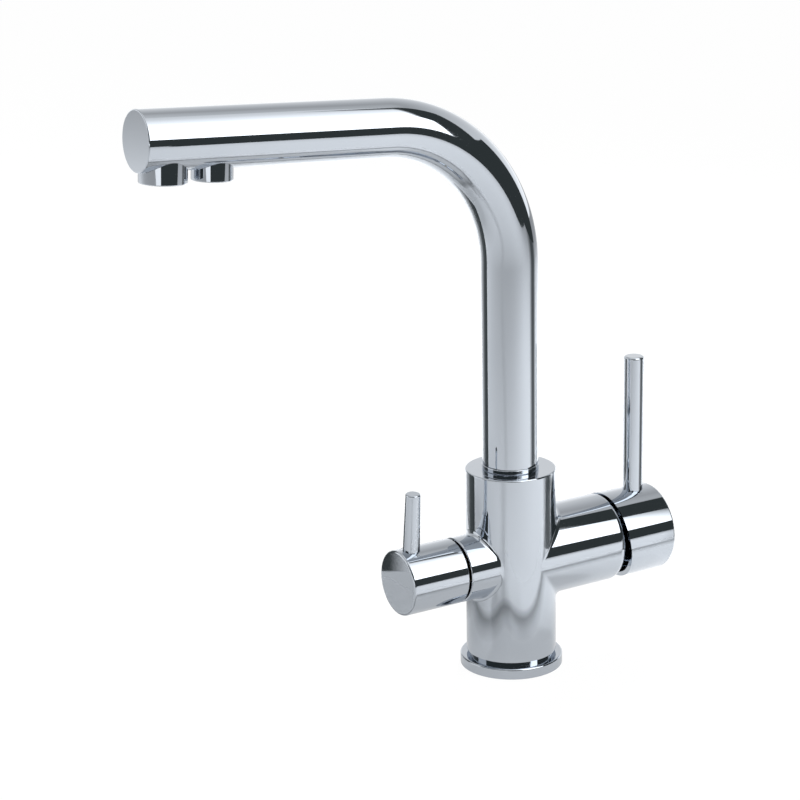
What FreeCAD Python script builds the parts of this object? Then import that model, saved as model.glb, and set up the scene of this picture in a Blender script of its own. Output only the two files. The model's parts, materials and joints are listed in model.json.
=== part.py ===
# Three-way sink mixer tap: swivel spout with two outlets, a mixer lever and a filtered-water lever.
# Frame: origin on the deck at the middle of the base, +Z up, mixer lever on +X, spout over -X at rest.

import FreeCAD, Part
import math
import os

from FreeCAD import Vector

# Driving dimensions, in millimetres and degrees

# Fits
fit_gap = 0.05
running_gap = 0.08
swivel_gap = 0.2
face_gap = 0.1

# Base and upright body
body_d = 50.4
body_top = 115.0
body_foot = 8.4
body_rim_round = 0.8
groove_depth = 1.7
flange_d = 57.6
flange_h = 5.9
flange_round = 1.0
spigot_d = 42.0
base_seal_wall = 2.0
base_seal_width = 3.4
base_seal_h = 2.2

# Mixer barrel on +X and filter stub on -X, both on the handle axis
handle_axis = 62.0
barrel_step = 0.2
barrel_end = 61.7
barrel_slant = 4.2
barrel_blend = 4.0
barrel_round_top = 1.6
barrel_round_side = 5.5
barrel_round_bottom = 6.0
stub_d = 36.4
stub_end = 37.4
stub_blend = 2.5
stub_round = 0.8

# Threads and waterways in the underside
inlet_thread_d = 9.0
inlet_thread_depth = 14.0
inlet_spacing = 14.0
inlet_offset = 9.0
filter_inlet_offset = 11.0
waterway_d = 7.0
filter_way_d = 5.0
stud_thread_d = 6.8
stud_thread_depth = 16.0
stud_spacing = 31.0

# Spout
tube_d = 31.1
tube_wall = 1.4
bend_radius = 82.0
spout_corner = 307.7
arm_rise = 3.3
reach = 216.9
tip_cap_t = 2.6
tip_register = 1.0
tip_round = 0.6
collar_h = 3.0
collar_over = 0.3
collar_round = 0.5

# Swivel foot of the spout
spout_bore_depth = 27.0
swivel_pitch = 5.5
nipple_d = 26.0
nipple_bore_d = 20.0
nipple_grip = 22.0
nipple_foot_gap = 0.5
groove_bed_d = 22.4
o_ring_section = 1.8
glide_ring_h = 5.0
glide_ring_t = 1.2
glide_ring_gap = 2.1
retaining_screw_d = 5.0
retaining_dog_d = 4.0
retaining_dog_len = 2.0
retaining_recess = 2.0
hub_wall = 1.6
hub_h = 6.0
spoke_w = 2.0
spoke_count = 3

# Inner tube for filtered water
filter_tube_d = 8.0
filter_tube_wall = 1.0
filter_tube_seat = 4.0

# Outlets under the tip
main_outlet_d = 24.4
main_outlet_margin = 2.5
filter_outlet_d = 21.2
outlet_spacing = 4.0
outlet_drop = 21.0
outlet_wall = 2.0
outlet_neck_step = 2.2
gasket_seat = 2.6
outlet_edge_round = 0.5
insert_recess = 0.5
insert_h = 4.0
gasket_h = 0.9
jet_d = 1.9
jet_pitch = 3.0

# Mixer cartridge
cartridge_d = 35.0
cartridge_floor = 16.0
cartridge_base_t = 4.0
cartridge_len = 31.0
cartridge_wall = 2.3
cartridge_lip = 2.0
lip_overlap = 1.9
port_d = 7.0
port_seal_w = 1.6
port_seal_h = 1.7
mixed_port_rise = 9.0
feed_port_drop = 7.0
disc_t = 3.4
moving_disc_d = 23.6
carrier_t = 5.0
disc_film = 0.02
tilt_max = 20.0
pivot_x = 43.0
ball_arm = 12.0
ball_d = 6.4
ball_room = 0.4
stem_w = 8.0
stem_end = 77.5
stem_finger_d = 5.2
stem_room = 0.2
pivot_pin_d = 3.0
sleeve_gap = 0.8
sleeve_end = 58.0
nut_d = 40.0
nut_h = 8.0
nut_notch = 4.0
shroud_d = 38.8
shroud_start = 55.4
shroud_shoulder = 59.0
shroud_end = 66.0
shroud_nose_d = 21.0
shroud_wall = 1.6

# Mixer lever
cap_gap_top = 1.7
cap_gap_bottom = 9.5
cap_end = 96.6
cap_wall = 2.4
cap_end_wall = 2.6
cap_round = 1.2
cap_boss_d = 19.0
cap_boss_start = 71.0
lever_x = 84.4
lever_d = 11.5
lever_top = 165.6
lever_round = 1.2
lever_seat_d = 16.0
lever_seat_depth = 8.0
lever_thread_d = 6.0
lever_thread_len = 8.0
mixer_screw_x = 74.5
mixer_screw_d = 4.0
plug_d = 5.0

# Filter valve, counted outwards from the body's axis
valve_floor = 14.0
valve_disc_d = 14.4
valve_disc_t = 3.0
valve_case_wall = 1.7
valve_shoulder = 22.0
valve_thread_d = 22.0
valve_thread_end = 36.0
valve_nose_d = 16.0
valve_nose_end = 46.0
valve_washer_t = 2.0
spindle_d = 8.0
spindle_flange_t = 3.5
spindle_end = 56.0
spindle_flat = 1.0
spindle_ring_bed = 5.8
spindle_ring_section = 1.04
circlip_d = 12.4
circlip_t = 0.8

# Filter lever
filter_gap = 1.5
filter_end = 74.2
filter_wall = 2.2
filter_end_wall = 3.0
filter_round = 1.2
filter_rim_round = 0.8
filter_boss_d = 17.0
filter_boss_start = 48.5
filter_lever_x = 66.0
filter_lever_foot_d = 9.5
filter_lever_top_d = 8.2
filter_lever_reach = 51.3
filter_lever_lean = 4.8
filter_lever_round = 0.8
filter_seat_d = 14.0
filter_seat_depth = 1.8
filter_thread_d = 5.0
filter_thread_len = 7.0
filter_screw_x = 53.0
filter_screw_d = 3.0

# Values that follow from the driving dimensions

body_r = body_d / 2
mixer_r = body_r - barrel_step
stub_r = stub_d / 2
groove_r = body_r - groove_depth
base_seal_d = spigot_d + 2 * base_seal_wall
tube_r = tube_d / 2
tube_bore_r = tube_r - tube_wall
tube_foot = body_top + collar_h
bend_turn = 90.0 - arm_rise
bend_run = bend_radius * math.tan(math.radians(bend_turn / 2))
bore_floor = body_top - spout_bore_depth
spout_bore_r = nipple_d / 2 + running_gap
filter_tube_r = filter_tube_d / 2
lower_ring_z = bore_floor + swivel_pitch
screw_z = lower_ring_z + swivel_pitch
upper_ring_z = screw_z + swivel_pitch
glide_ring_z = upper_ring_z + o_ring_section / 2 + glide_ring_gap
chamber_r = cartridge_d / 2 + face_gap
housing_start = cartridge_floor + cartridge_base_t
housing_end = cartridge_floor + cartridge_len
housing_bore_r = cartridge_d / 2 - cartridge_wall
lip_r = housing_bore_r - lip_overlap
sleeve_r = housing_bore_r - running_gap
neck_r = lip_r - running_gap
carrier_start = housing_start + 2 * disc_t + disc_film
carrier_end = carrier_start + carrier_t
sleeve_start = carrier_end + sleeve_gap
ball_x = pivot_x - ball_arm
disc_travel = ball_arm * math.radians(tilt_max)
tilt_slope = math.tan(math.radians(tilt_max))
tilt_cosine = math.cos(math.radians(tilt_max))
nut_bore_r = lip_r + stem_room
cap_start = barrel_end + cap_gap_top
cap_bore_r = mixer_r - cap_wall
case_r = valve_disc_d / 2 + valve_case_wall
filter_start = stub_end + filter_gap
filter_bore_r = stub_r - filter_wall
spindle_r = spindle_d / 2
main_outlet_reach = reach - main_outlet_margin - main_outlet_d / 2
filter_outlet_reach = main_outlet_reach - (main_outlet_d + filter_outlet_d) / 2 - outlet_spacing
main_recess_r = main_outlet_d / 2 - outlet_wall
filter_recess_r = filter_outlet_d / 2 - outlet_wall
origin = Vector(0, 0, 0)


# Points and simple solids

def up(z, x=0.0, y=0.0):
    return Vector(x, y, z)


def side(x, y=0.0, z=0.0):
    return Vector(x, y, handle_axis + z)


def rod(radius, start, end):
    along = end.sub(start)
    return Part.makeCylinder(radius, along.Length, start, along)


def pipe(outer, inner, start, end):
    return rod(outer, start, end).cut(rod(inner, start, end))


def block(low, high):
    size = high.sub(low)
    return Part.makeBox(size.x, size.y, size.z, low)


def o_ring(bed_r, section, centre, axis):
    return Part.makeTorus(bed_r + section / 2, section / 2, centre, axis)


def hex_socket(screw_d, start, end):
    along = end.sub(start)
    corner = screw_d * 0.29
    points = []
    for step in range(7):
        angle = math.radians(60 * step)
        points.append(Vector(corner * math.cos(angle), corner * math.sin(angle), 0))
    prism = Part.Face(Part.makePolygon(points)).extrude(Vector(0, 0, along.Length))
    prism.Placement = FreeCAD.Placement(start, FreeCAD.Rotation(Vector(0, 0, 1), along))
    return prism


def set_screw(diameter, tip, head):
    along = head.sub(tip).normalize()
    socket_floor = head.sub(along * (diameter * 0.6))
    return rod(diameter / 2, tip, head).cut(hex_socket(diameter, socket_floor, head))


def at_level(axis, value):
    def chosen(edge):
        box = edge.BoundBox
        low = getattr(box, axis + "Min")
        high = getattr(box, axis + "Max")
        return abs(low - value) < 1e-4 and abs(high - value) < 1e-4
    return chosen


def around(axis, value, radius):
    level = at_level(axis, value)
    def chosen(edge):
        return level(edge) and abs(edge.BoundBox.DiagonalLength - 2 * radius * math.sqrt(2)) < 1e-3
    return chosen


def soften(shape, radius, chosen):
    return shape.makeFillet(radius, [edge for edge in shape.Edges if chosen(edge)])


def on_arm(shape):
    shape.rotate(origin, Vector(0, 1, 0), arm_rise)
    shape.translate(up(spout_corner))
    return shape


def leaned(shape):
    shape.rotate(side(0), Vector(1, 0, 0), filter_lever_lean)
    return shape


# Body and base

def barrel_end_at(z):
    return barrel_end + barrel_slant * (handle_axis + mixer_r - z) / (2 * mixer_r)


def on_barrel_end(edge):
    middle = (edge.FirstParameter + edge.LastParameter) / 2
    points = [edge.valueAt(place) for place in (edge.FirstParameter, middle, edge.LastParameter)]
    return all(abs(point.x - barrel_end_at(point.z)) < 1e-3 for point in points)


def slanted_limit():
    low = handle_axis - 2 * mixer_r
    high = handle_axis + 2 * mixer_r
    corners = [up(low), up(low, barrel_end_at(low)), up(high, barrel_end_at(high)), up(high), up(low)]
    prism = Part.Face(Part.makePolygon(corners)).extrude(Vector(0, 4 * mixer_r, 0))
    prism.translate(Vector(0, -2 * mixer_r, 0))
    return prism


def quartered_barrel():
    along = Vector(barrel_end + barrel_slant, 0, 0)
    quarters = [Part.makeCircle(mixer_r, side(0), along, turn, turn + 90) for turn in (0, 90, 180, 270)]
    return Part.Face(Part.Wire(quarters)).extrude(along).common(slanted_limit())


def joint_edges(direction):
    def chosen(edge):
        box = edge.BoundBox
        near = min(direction * box.XMin, direction * box.XMax)
        far = max(direction * box.XMin, direction * box.XMax)
        upright = box.ZMin > body_foot + 1 and box.ZMax < body_top - 1
        return near > 0.1 and far < body_r + 0.1 and box.YLength > 1 and upright
    return chosen


def barrel_round_at(point):
    height = (point.z - handle_axis) / mixer_r
    if height > 0.5:
        return barrel_round_top
    if height < -0.5:
        return barrel_round_bottom
    return barrel_round_side


def graded_barrel_round(shape):
    bench = FreeCAD.newDocument("bench")
    plain = bench.addObject("Part::Feature", "plain")
    plain.Shape = shape
    quarters = []
    for place, edge in enumerate(plain.Shape.Edges):
        if on_barrel_end(edge):
            start = barrel_round_at(edge.valueAt(edge.FirstParameter))
            end = barrel_round_at(edge.valueAt(edge.LastParameter))
            quarters.append((place + 1, start, end))
    rounded = bench.addObject("Part::Fillet", "rounded")
    rounded.Base = plain
    rounded.Edges = quarters
    bench.recompute()
    return rounded.Shape.copy()


def body_outside():
    column = rod(body_r, up(body_foot), up(body_top))
    stub = rod(stub_r, side(0), side(-stub_end))
    outside = column.fuse([quartered_barrel(), stub])
    outside = soften(outside, barrel_blend, joint_edges(1))
    outside = soften(outside, stub_blend, joint_edges(-1))
    outside = graded_barrel_round(outside)
    outside = soften(outside, body_rim_round, at_level("Z", body_top))
    outside = soften(outside, stub_round, at_level("X", -stub_end))
    neck = rod(groove_r, up(flange_h), up(body_foot))
    spigot = rod(spigot_d / 2, up(0), up(flange_h))
    return outside.fuse([neck, spigot])


def inlet_points():
    return [
        Vector(inlet_offset, inlet_spacing / 2, 0),
        Vector(inlet_offset, -inlet_spacing / 2, 0),
        Vector(-filter_inlet_offset, 0, 0),
    ]


def feed_ports():
    half = inlet_spacing / 2
    return [(half, -feed_port_drop), (-half, -feed_port_drop), (0.0, mixed_port_rise)]


def waterways():
    way_r = waterway_d / 2
    thin_r = filter_way_d / 2
    ways = [rod(inlet_thread_d / 2, foot, foot.add(up(inlet_thread_depth))) for foot in inlet_points()]
    for y, z in feed_ports()[:2]:
        ways.append(rod(way_r, up(0, inlet_offset, y), side(inlet_offset, y, z)))
        ways.append(rod(way_r, side(inlet_offset, y, z), side(cartridge_floor, y, z)))
    riser = side(inlet_offset - 1, 0, mixed_port_rise)
    ways.append(rod(way_r, riser, side(cartridge_floor, 0, mixed_port_rise)))
    ways.append(rod(way_r, riser, up(bore_floor, riser.x)))
    ways.append(rod(thin_r, up(0, -filter_inlet_offset), side(-filter_inlet_offset)))
    ways.append(rod(thin_r, side(-filter_inlet_offset), side(-valve_floor)))
    window_x = -(valve_floor + valve_shoulder) / 2 - 1
    gallery = bore_floor - filter_tube_seat
    ways.append(rod(thin_r, side(window_x), up(gallery, window_x)))
    ways.append(rod(thin_r, up(gallery, window_x), up(gallery)))
    return ways


def spout_bore():
    seat = rod(filter_tube_r + running_gap, up(bore_floor - filter_tube_seat), up(bore_floor))
    ring_r = filter_tube_r + o_ring_section + 2 * face_gap
    ring_seat = rod(ring_r, up(bore_floor - o_ring_section), up(bore_floor))
    screw_hole = rod(retaining_screw_d / 2 + fit_gap, up(screw_z), up(screw_z, 0, body_r + 1))
    return [rod(spout_bore_r, up(bore_floor), up(body_top)), seat, ring_seat, screw_hole]


def make_body_casting():
    cuts = [
        rod(chamber_r, side(cartridge_floor), side(barrel_end)),
        rod(nut_d / 2 + fit_gap, side(housing_end), side(barrel_end + barrel_slant)),
        rod(case_r + face_gap, side(-valve_floor), side(-stub_end)),
        rod(valve_thread_d / 2 + fit_gap, side(-valve_shoulder), side(-stub_end)),
    ]
    cuts += spout_bore() + waterways()
    for direction in (-1, 1):
        foot = Vector(0, direction * stud_spacing / 2, 0)
        cuts.append(rod(stud_thread_d / 2, foot, foot.add(up(stud_thread_depth))))
    return body_outside().cut(cuts)


def make_base_flange():
    ring = pipe(flange_d / 2, spigot_d / 2 + fit_gap, up(0), up(flange_h))
    ring = soften(ring, flange_round, around("Z", flange_h, flange_d / 2))
    inner = base_seal_d / 2 - face_gap
    outer = base_seal_d / 2 + base_seal_width + face_gap
    return ring.cut(pipe(outer, inner, up(0), up(base_seal_h)))


def make_base_seal():
    inner = base_seal_d / 2
    return pipe(inner + base_seal_width, inner, up(0), up(base_seal_h))


def make_spout_collar():
    outer = tube_r + collar_over
    top = tube_foot - swivel_gap
    ring = pipe(outer, spout_bore_r + face_gap, up(body_top), up(top))
    for level in (body_top, top):
        ring = soften(ring, collar_round, around("Z", level, outer))
    return ring


# Spout

def bent_pipe(outer, inner, foot, arm_end):
    ring = Part.Face([Part.Wire(Part.makeCircle(outer, up(foot)))])
    ring = ring.cut(Part.Face([Part.Wire(Part.makeCircle(inner, up(foot)))])).Faces[0]
    bend_start = spout_corner - bend_run
    column = ring.extrude(up(bend_start - foot))
    ring.translate(up(bend_start - foot))
    bend = ring.revolve(Vector(-bend_radius, 0, bend_start), Vector(0, -1, 0), bend_turn)
    arm = on_arm(pipe(outer, inner, Vector(-bend_run, 0, 0), Vector(-arm_end, 0, 0)))
    return column.fuse([bend, arm])


def outlet_neck_r(outlet_d):
    return outlet_d / 2 - outlet_neck_step


def under_arm(along, drop):
    return Vector(-along, 0, -drop)


def make_spout_tube():
    tube = bent_pipe(tube_r, tube_bore_r, tube_foot, reach - tip_cap_t)
    for along, outlet_d in ((main_outlet_reach, main_outlet_d), (filter_outlet_reach, filter_outlet_d)):
        hole = rod(outlet_neck_r(outlet_d) + fit_gap, under_arm(along, 0), under_arm(along, tube_d))
        tube = tube.cut(on_arm(hole))
    return tube


def make_spout_tip_cap():
    inside = Vector(-(reach - tip_cap_t - tip_register), 0, 0)
    seam = Vector(-(reach - tip_cap_t), 0, 0)
    face = Vector(-reach, 0, 0)
    disc = soften(rod(tube_r, seam, face), tip_round, at_level("X", -reach))
    return on_arm(disc.fuse(rod(tube_bore_r - fit_gap, inside, seam)))


def outlet_shell(outlet_d, along, neck_top):
    shell = rod(outlet_d / 2, under_arm(along, 0), under_arm(along, outlet_drop))
    shell = soften(shell, outlet_edge_round, at_level("Z", -outlet_drop))
    arm = rod(tube_r + fit_gap, Vector(-(along - tube_d), 0, 0), Vector(-(along + tube_d), 0, 0))
    neck_foot = under_arm(along, outlet_drop - outlet_edge_round)
    neck = rod(outlet_neck_r(outlet_d), under_arm(along, neck_top), neck_foot)
    return shell.cut(arm).fuse(neck)


def recess_top():
    return outlet_drop - insert_recess - insert_h - gasket_h


def make_main_outlet_housing():
    along = main_outlet_reach
    shell = outlet_shell(main_outlet_d, along, tube_bore_r - tube_wall * 3)
    recess = rod(main_recess_r, under_arm(along, recess_top()), under_arm(along, outlet_drop))
    way = rod(main_recess_r - gasket_seat, under_arm(along, 0), under_arm(along, outlet_drop))
    return on_arm(shell.cut([recess, way]))


def make_filter_outlet_housing():
    along = filter_outlet_reach
    top = -(filter_tube_r + outlet_wall)
    shell = outlet_shell(filter_outlet_d, along, top)
    recess = rod(filter_recess_r, under_arm(along, recess_top()), under_arm(along, outlet_drop))
    way = rod(filter_way_d / 2, under_arm(along, 0), under_arm(along, outlet_drop))
    socket = rod(filter_tube_r + fit_gap, under_arm(along, 0), under_arm(along - filter_outlet_d, 0))
    return on_arm(shell.cut([recess, way, socket]))


def jet_points(radius):
    points = [(0.0, 0.0)]
    ring = 1
    while (ring + 0.5) * jet_pitch < radius:
        for step in range(6 * ring):
            angle = math.radians(60 * step / ring)
            points.append((ring * jet_pitch * math.cos(angle), ring * jet_pitch * math.sin(angle)))
        ring += 1
    return points


def aerator_insert(recess_r, along):
    low = outlet_drop - insert_recess
    disc = rod(recess_r - face_gap, under_arm(along, low - insert_h), under_arm(along, low))
    jets = []
    for x, y in jet_points(recess_r - jet_d):
        top = under_arm(along, low - insert_h).add(Vector(x, y, 0))
        jets.append(rod(jet_d / 2, top, top.sub(up(insert_h))))
    return on_arm(disc.cut(jets))


def make_main_aerator_insert():
    return aerator_insert(main_recess_r, main_outlet_reach)


def make_filter_aerator_insert():
    return aerator_insert(filter_recess_r, filter_outlet_reach)


def outlet_gasket(recess_r, inner_r, along):
    top = under_arm(along, recess_top())
    return on_arm(pipe(recess_r - face_gap, inner_r, top, top.sub(up(gasket_h))))


def make_main_outlet_gasket():
    return outlet_gasket(main_recess_r, main_recess_r - gasket_seat, main_outlet_reach)


def make_filter_outlet_gasket():
    return outlet_gasket(filter_recess_r, filter_way_d / 2, filter_outlet_reach)


def ring_groove(z, bed_d, height):
    return pipe(nipple_d / 2, bed_d / 2, up(z - height / 2), up(z + height / 2))


def nipple_spider():
    low = tube_foot + nipple_grip - hub_h
    high = tube_foot + nipple_grip
    hub = rod(filter_tube_r + fit_gap + hub_wall, up(low), up(high))
    for step in range(spoke_count):
        spoke = block(Vector(0, -spoke_w / 2, low), Vector(nipple_bore_d / 2 + 0.5, spoke_w / 2, high))
        spoke.rotate(origin, Vector(0, 0, 1), 360.0 * step / spoke_count)
        hub = hub.fuse(spoke)
    return hub.cut(rod(filter_tube_r + fit_gap, up(low), up(high)))


def make_spout_nipple():
    foot = bore_floor + nipple_foot_gap
    shank = rod(nipple_d / 2, up(foot), up(tube_foot))
    grip = rod(tube_bore_r - fit_gap, up(tube_foot), up(tube_foot + nipple_grip))
    nipple = shank.fuse(grip).cut(rod(nipple_bore_d / 2, up(foot), up(tube_foot + nipple_grip)))
    ring_h = o_ring_section + 4 * face_gap
    grooves = [ring_groove(z, groove_bed_d, ring_h) for z in (lower_ring_z, upper_ring_z)]
    grooves.append(ring_groove(screw_z, groove_bed_d, retaining_dog_d + 1))
    glide_bed = nipple_d - 2 * glide_ring_t
    grooves.append(ring_groove(glide_ring_z + glide_ring_h / 2, glide_bed, glide_ring_h + 2 * face_gap))
    return nipple.cut(grooves).fuse(nipple_spider())


def make_spout_o_rings():
    bed = groove_bed_d / 2
    section = nipple_d / 2 - bed - fit_gap
    rings = [o_ring(bed + fit_gap / 2, section, up(z), up(1)) for z in (lower_ring_z, upper_ring_z)]
    return Part.makeCompound(rings)


def make_spout_glide_ring():
    inner = nipple_d / 2 - glide_ring_t + fit_gap
    return pipe(nipple_d / 2 + fit_gap / 2, inner, up(glide_ring_z), up(glide_ring_z + glide_ring_h))


def make_spout_retaining_screw():
    tip = groove_bed_d / 2 + swivel_gap
    shoulder = tip + retaining_dog_len + 0.3
    head = body_r - retaining_recess
    screw = set_screw(retaining_screw_d, up(screw_z, 0, shoulder), up(screw_z, 0, head))
    return screw.fuse(rod(retaining_dog_d / 2, up(screw_z, 0, tip), up(screw_z, 0, shoulder)))


def make_filtered_water_tube():
    inner = filter_tube_r - filter_tube_wall
    foot = bore_floor - filter_tube_seat + nipple_foot_gap
    end = filter_outlet_reach - filter_way_d / 2
    return bent_pipe(filter_tube_r, inner, foot, end)


def make_inner_tube_seal():
    height = bore_floor - o_ring_section / 2
    return o_ring(filter_tube_r + face_gap, o_ring_section - face_gap, up(height), up(1))


# Mixer cartridge

def make_cartridge_base():
    base = rod(cartridge_d / 2, side(cartridge_floor), side(housing_start))
    cuts = []
    for y, z in feed_ports():
        cuts.append(rod(port_d / 2, side(cartridge_floor, y, z), side(housing_start, y, z)))
        seat_r = port_d / 2 + port_seal_w + face_gap
        seat_end = cartridge_floor + port_seal_h
        cuts.append(rod(seat_r, side(cartridge_floor, y, z), side(seat_end, y, z)))
    return base.cut(cuts)


def make_cartridge_base_seals():
    seals = []
    for y, z in feed_ports():
        ends = side(cartridge_floor, y, z), side(cartridge_floor + port_seal_h, y, z)
        seals.append(pipe(port_d / 2 + port_seal_w, port_d / 2, *ends))
    return Part.makeCompound(seals)


def make_cartridge_housing():
    shell = pipe(cartridge_d / 2, housing_bore_r, side(housing_start), side(housing_end))
    lip = pipe(housing_bore_r + 1, lip_r, side(housing_end - cartridge_lip), side(housing_end))
    return shell.fuse(lip)


def make_cartridge_fixed_disc():
    disc = rod(housing_bore_r - face_gap, side(housing_start), side(housing_start + disc_t))
    for y, z in feed_ports():
        port = side(housing_start, y, z)
        disc = disc.cut(rod(port_d / 2 - 0.5, port, port.add(Vector(disc_t, 0, 0))))
    return disc


def disc_centre(x):
    return side(x, 0, -disc_travel / 2)


def make_cartridge_moving_disc():
    start = housing_start + disc_t + disc_film
    disc = rod(moving_disc_d / 2, disc_centre(start), disc_centre(carrier_start))
    return disc.cut(rod(moving_disc_d / 4, disc_centre(start), disc_centre(start + disc_t / 2)))


def make_disc_carrier():
    carrier = rod(moving_disc_d / 2, disc_centre(carrier_start), disc_centre(carrier_end))
    return carrier.cut(rod(ball_d / 2 + ball_room, side(carrier_start + 0.6), side(carrier_end)))


def stem_dip(x):
    return -(x - pivot_x) * tilt_slope - stem_w / 2 / tilt_cosine - 2 * stem_room


def finger_lift(x):
    return (pivot_x - x) * tilt_slope + stem_w / 2 / tilt_cosine


def make_cartridge_sleeve():
    shoulder = housing_end - cartridge_lip - face_gap
    sleeve = rod(sleeve_r, side(sleeve_start), side(shoulder))
    sleeve = sleeve.fuse(rod(neck_r, side(shoulder), side(sleeve_end)))
    half = stem_w / 2 + stem_room
    low = stem_dip(sleeve_end)
    slot = block(side(sleeve_start, -half, low), side(sleeve_end, half, finger_lift(sleeve_start)))
    pin_hole = rod(pivot_pin_d / 2 + fit_gap / 2, side(pivot_x, -sleeve_r), side(pivot_x, sleeve_r))
    return sleeve.cut([slot, pin_hole])


def make_lever_pivot_pin():
    reach_y = sleeve_r - 0.5
    return rod(pivot_pin_d / 2, side(pivot_x, -reach_y), side(pivot_x, reach_y))


def make_cartridge_stem():
    half = stem_w / 2
    knuckle = pivot_x - stem_w * 0.9
    shank = block(side(knuckle, -half, -half), side(stem_end, half, half))
    finger = rod(stem_finger_d / 2, side(ball_x), side(knuckle + 1))
    ball = Part.makeSphere(ball_d / 2, side(ball_x))
    eye = rod(pivot_pin_d / 2 + running_gap, side(pivot_x, -half), side(pivot_x, half))
    return shank.fuse([finger, ball]).cut(eye)


def make_cartridge_nut():
    nut = pipe(nut_d / 2, nut_bore_r, side(housing_end), side(housing_end + nut_h))
    face = housing_end + nut_h
    half = nut_notch / 2
    for step in range(4):
        notch = block(side(face - half, -half, nut_d / 2 - nut_notch), side(face, half, nut_d))
        notch.rotate(side(0), Vector(1, 0, 0), 90 * step)
        nut = nut.cut(notch)
    return nut


def dome(skirt_r, nose_r, start, shoulder, end):
    middle_x = shoulder + (end - shoulder) * 0.72
    middle_r = nose_r + (skirt_r - nose_r) * 0.62
    rim = side(shoulder, 0, skirt_r)
    nose = side(end, 0, nose_r)
    arc = Part.Arc(rim, side(middle_x, 0, middle_r), nose).toShape()
    foot = Part.makePolygon([nose, side(end), side(start), side(start, 0, skirt_r), rim])
    return Part.Face(Part.Wire([arc] + foot.Edges)).revolve(side(0), Vector(1, 0, 0), 360)


def make_mixer_shroud():
    outside = dome(shroud_d / 2, shroud_nose_d / 2, shroud_start, shroud_shoulder, shroud_end)
    wall = shroud_wall
    skirt_r = shroud_d / 2 - wall
    nose_r = shroud_nose_d / 2 - wall
    inside = dome(skirt_r, nose_r, sleeve_end, shroud_shoulder, shroud_end - wall)
    half = stem_w / 2 + 2 * stem_room
    slot = block(side(sleeve_end, -half, stem_dip(shroud_end)), side(shroud_end, half, half))
    return outside.cut([inside, slot, rod(neck_r + fit_gap, side(shroud_start), side(sleeve_end))])


# Mixer lever

def rim_sweep():
    step = cap_gap_bottom - cap_gap_top
    sweep_r = ((2 * mixer_r) ** 2 + step ** 2) / (2 * step)
    centre = side(cap_start + sweep_r, -body_d, mixer_r)
    return rod(sweep_r, centre, centre.add(Vector(0, 2 * body_d, 0)))


def mixer_lever_point(z):
    return side(lever_x, 0, z)


def mixer_screw_point(z):
    return side(mixer_screw_x, 0, z)


def make_mixer_cap():
    shell = soften(rod(mixer_r, side(cap_start), side(cap_end)), cap_round, at_level("X", cap_end))
    shell = shell.cut(rod(cap_bore_r, side(cap_start), side(cap_end - cap_end_wall)))
    boss = rod(cap_boss_d / 2, side(cap_boss_start), side(cap_end - cap_end_wall))
    seat = rod(lever_seat_d / 2, mixer_lever_point(0), mixer_lever_point(cap_bore_r + cap_wall / 2))
    half = stem_w / 2 + fit_gap
    socket = block(side(cap_boss_start, -half, -half), side(stem_end + fit_gap, half, half))
    floor = mixer_r - lever_seat_depth
    thread_floor = mixer_lever_point(floor - lever_thread_len)
    cuts = [
        socket,
        rod(lever_d / 2 + fit_gap, mixer_lever_point(floor), mixer_lever_point(mixer_r + 1)),
        rod(lever_thread_d / 2 + fit_gap, thread_floor, mixer_lever_point(floor)),
        rod(mixer_screw_d / 2 + fit_gap, mixer_screw_point(0), mixer_screw_point(-cap_bore_r)),
        rod(plug_d / 2 + fit_gap, mixer_screw_point(-cap_bore_r + 1), mixer_screw_point(-mixer_r - 1)),
    ]
    return shell.fuse([boss, seat]).common(rim_sweep()).cut(cuts)


def make_mixer_lever_pin():
    floor = mixer_r - lever_seat_depth
    pin = rod(lever_d / 2, mixer_lever_point(floor), up(lever_top, lever_x))
    pin = soften(pin, lever_round, at_level("Z", lever_top))
    thread_foot = mixer_lever_point(floor - lever_thread_len + face_gap)
    return pin.fuse(rod(lever_thread_d / 2, thread_foot, mixer_lever_point(floor)))


def make_mixer_grub_screw():
    tip = mixer_screw_point(-stem_w / 2 - face_gap)
    return set_screw(mixer_screw_d, tip, mixer_screw_point(-cap_boss_d / 2))


def make_indicator_plug():
    plug = rod(plug_d / 2, mixer_screw_point(-cap_bore_r + 0.5), mixer_screw_point(-mixer_r - 1))
    return plug.common(rod(mixer_r, side(cap_start), side(cap_end)))


# Filter valve

def valve_rod(radius, start, end):
    return rod(radius, side(-start), side(-end))


def valve_pipe(outer, inner, start, end):
    return pipe(outer, inner, side(-start), side(-end))


def valve_levels():
    fixed = valve_floor + valve_washer_t
    moving = fixed + valve_disc_t + disc_film
    flange = moving + valve_disc_t
    return fixed, moving, flange, flange + spindle_flange_t


def make_headwork_bonnet():
    fixed, moving, flange, bed = valve_levels()
    bonnet = valve_rod(case_r, fixed, valve_shoulder)
    bonnet = bonnet.fuse(valve_rod(valve_thread_d / 2, valve_shoulder, valve_thread_end))
    bonnet = bonnet.fuse(valve_rod(valve_nose_d / 2, valve_thread_end, valve_nose_end))
    window = (valve_floor + valve_shoulder) / 2 + 1
    cuts = [
        valve_rod(valve_disc_d / 2 + face_gap, fixed, bed + face_gap),
        valve_rod(spindle_r + running_gap, fixed, valve_nose_end),
        rod(filter_way_d / 2, side(-window), side(-window, 0, case_r + 1)),
    ]
    return bonnet.cut(cuts)


def make_headwork_seat_washer():
    return valve_pipe(case_r, filter_way_d / 2 + 1, valve_floor, valve_floor + valve_washer_t)


def half_moon(start, end):
    half = valve_disc_d / 2 - 1.6
    return valve_rod(half, start, end).cut(block(side(-end, -half, -half), side(-start, half, 0.8)))


def make_headwork_fixed_disc():
    fixed = valve_levels()[0]
    disc = valve_rod(valve_disc_d / 2, fixed, fixed + valve_disc_t)
    return leaned(disc.cut(half_moon(fixed, fixed + valve_disc_t)))


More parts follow.
